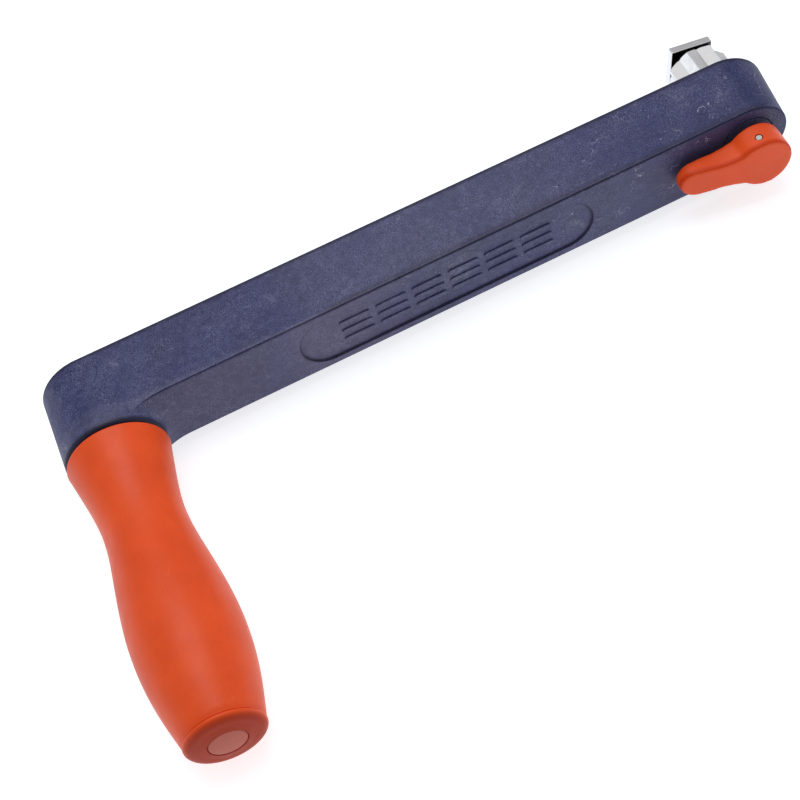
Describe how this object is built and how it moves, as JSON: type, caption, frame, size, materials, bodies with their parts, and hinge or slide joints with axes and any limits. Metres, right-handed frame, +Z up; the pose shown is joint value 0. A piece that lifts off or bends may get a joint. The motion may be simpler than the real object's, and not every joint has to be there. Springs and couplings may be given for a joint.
{
  "type": "winch handle",
  "caption": "Locking winch handle: hollow moulded crank arm, star drive spigot with a turning lock plate worked by a thumb lever, and a free-spinning hand grip.",
  "frame": {"origin": "middle of the handle's box at the surface it lies on: the handle rests on one side of its arm and grip", "axes": "+X along the arm from the grip's axis to the spigot's axis; -Y along the grip, away from the arm; +Y out of the drive spigot; +Z up"},
  "size_m": [0.292, 0.1786, 0.0392],
  "materials": {
    "navy_plastic": "fine moulded grain with pale scuffs",
    "orange_plastic": "smooth satin",
    "chrome": "bright plated",
    "steel": "turned stainless steel",
    "nylon": "natural nylon",
    "rubber": "black rubber",
    "foam": "closed-cell foam",
    "brass": "turned bronze"
  },
  "bodies": {
    "arm": {"arm_body": "navy_plastic", "arm_bottom_cover": "navy_plastic", "cover_gasket": "rubber", "cover_screw_1": "steel", "cover_screw_2": "steel", "cover_screw_3": "steel", "foam_core_near_spigot": "foam", "foam_core_near_grip": "foam", "drive_spigot": "chrome", "spigot_washer": "steel", "spigot_ring_nut": "steel", "nut_seat_cover": "navy_plastic", "spindle_bush_lower": "brass", "spindle_bush_upper": "brass", "spindle_o_ring": "rubber", "lever_stop_pin": "steel", "grip_pivot_pin": "steel", "pivot_cover_plug": "navy_plastic", "grip_thrust_washer": "nylon", "grip_retaining_washer": "steel", "grip_retaining_screw": "steel"},
    "lock": {"lock_spindle": "steel", "lock_plate": "chrome", "lock_plate_screw": "steel", "lock_lever": "orange_plastic", "lever_cross_pin": "steel", "lever_return_spring": "steel"},
    "grip": {"grip_sleeve": "orange_plastic", "grip_bush_inner": "nylon", "grip_bush_outer": "nylon", "grip_end_cap": "orange_plastic", "grip_end_plug": "orange_plastic"}
  },
  "joints": [
    {"name": "lock_lever_turn", "type": "hinge", "parent": "arm", "child": "lock", "pos_m": [0.12755, 0.0655, 0.0196], "axis": [0, -1, 0], "range_deg": [0, 22.5], "stiffness_Nm_per_rad": 0.06, "springref_deg": -34.38},
    {"name": "grip_spin", "type": "hinge", "parent": "arm", "child": "grip", "pos_m": [-0.12645, 0.0655, 0.0196], "axis": [0, -1, 0], "continuous": true}
  ]
}
